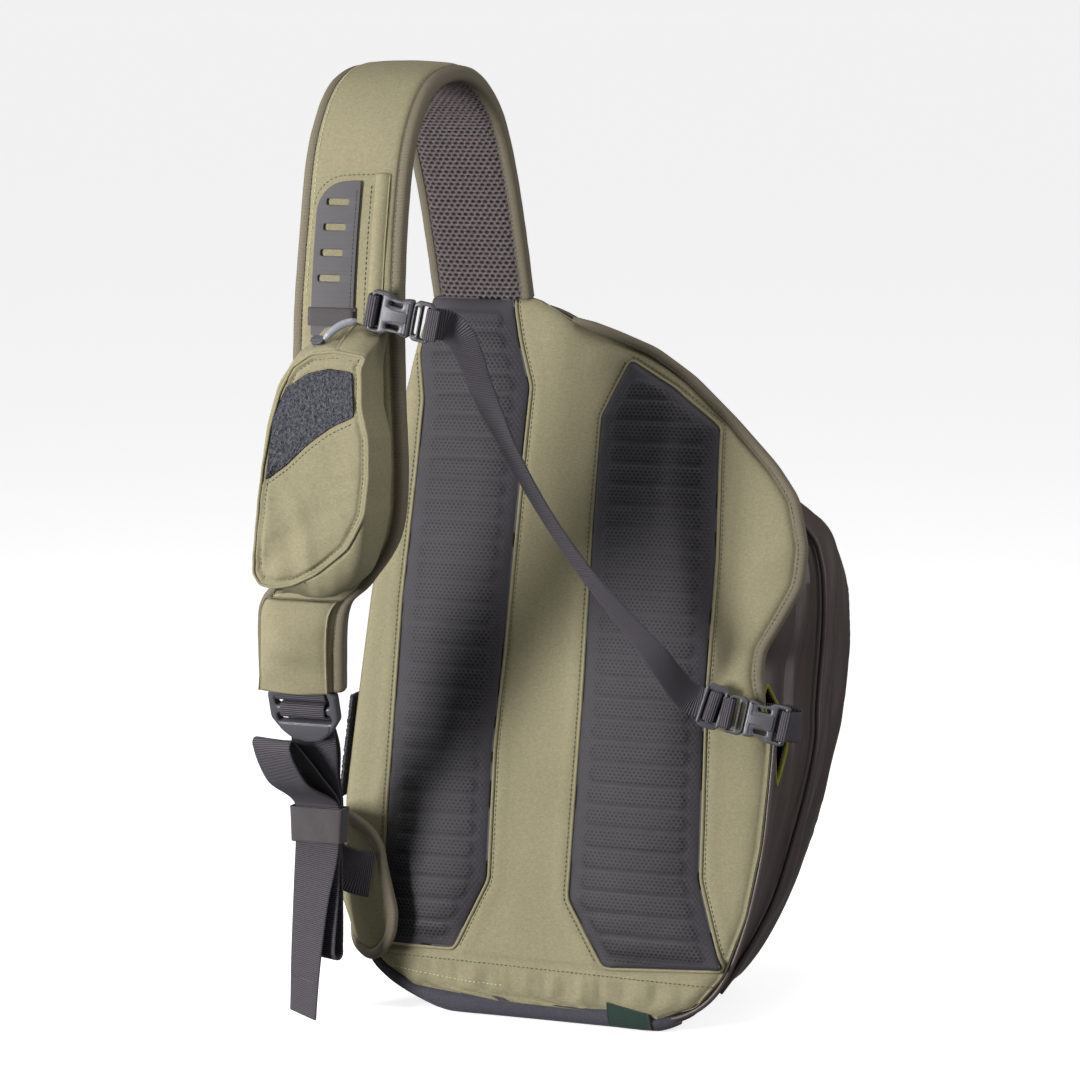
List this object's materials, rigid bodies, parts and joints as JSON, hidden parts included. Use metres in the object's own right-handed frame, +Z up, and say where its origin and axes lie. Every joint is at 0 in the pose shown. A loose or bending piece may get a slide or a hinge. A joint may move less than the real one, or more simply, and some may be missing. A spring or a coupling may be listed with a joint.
{
  "type": "fishing tackle sling bag",
  "caption": "Soft sling bag with a padded back panel, one wide shoulder strap with a small pouch, and a buckled stabiliser web.",
  "frame": {"origin": "on the floor, at the middle of the bag's flat base", "axes": "+Z up, the back panel facing -Y towards the wearer, +X to the right as the wearer's side is seen"},
  "size_m": [0.3157, 0.3667, 0.6006],
  "materials": {
    "olive_cloth": "woven, matt",
    "taupe_binding": "woven tape, matt",
    "coated_cloth": "coated, semi-gloss",
    "base_cloth": "coated, matt",
    "perforated_pad": "perforated stretch cloth, matt",
    "air_mesh": "open spacer mesh",
    "webbing": "ribbed webbing",
    "laminate": "smooth laminate, satin",
    "buckle_plastic": "moulded, satin",
    "loop_pile": "looped pile",
    "slit_tape": "woven, matt",
    "label_cloth": "fine woven"
  },
  "bodies": {
    "root": {"body_shell": "coated_cloth", "slit_facing": "slit_tape", "side_welt": "coated_cloth", "base_cloth": "base_cloth", "back_panel": "olive_cloth", "wing_binding": "taupe_binding", "mesh_pad_left": "perforated_pad", "mesh_pad_right": "perforated_pad", "pile_strip": "loop_pile", "hip_wing": "olive_cloth", "hip_wing_binding": "taupe_binding", "foot_label": "label_cloth", "shoulder_strap": "olive_cloth", "strap_lining": "air_mesh", "strap_binding_left": "taupe_binding", "strap_binding_right": "taupe_binding", "tool_ladder": "laminate", "ladder_band": "webbing", "zip_flap": "olive_cloth", "strap_end_cover": "olive_cloth", "pouch": "olive_cloth", "pile_patch": "loop_pile", "zip_slider": "buckle_plastic", "zip_pull": "webbing", "ladder_lock": "buckle_plastic", "lock_loop": "webbing", "main_web": "webbing", "web_keeper": "webbing", "upper_socket": "buckle_plastic", "upper_plug": "buckle_plastic", "upper_tab": "webbing", "stabiliser_web": "webbing", "web_slider": "buckle_plastic", "lower_plug": "buckle_plastic", "lower_socket": "buckle_plastic", "lower_tab": "webbing"}
  },
  "joints": []
}
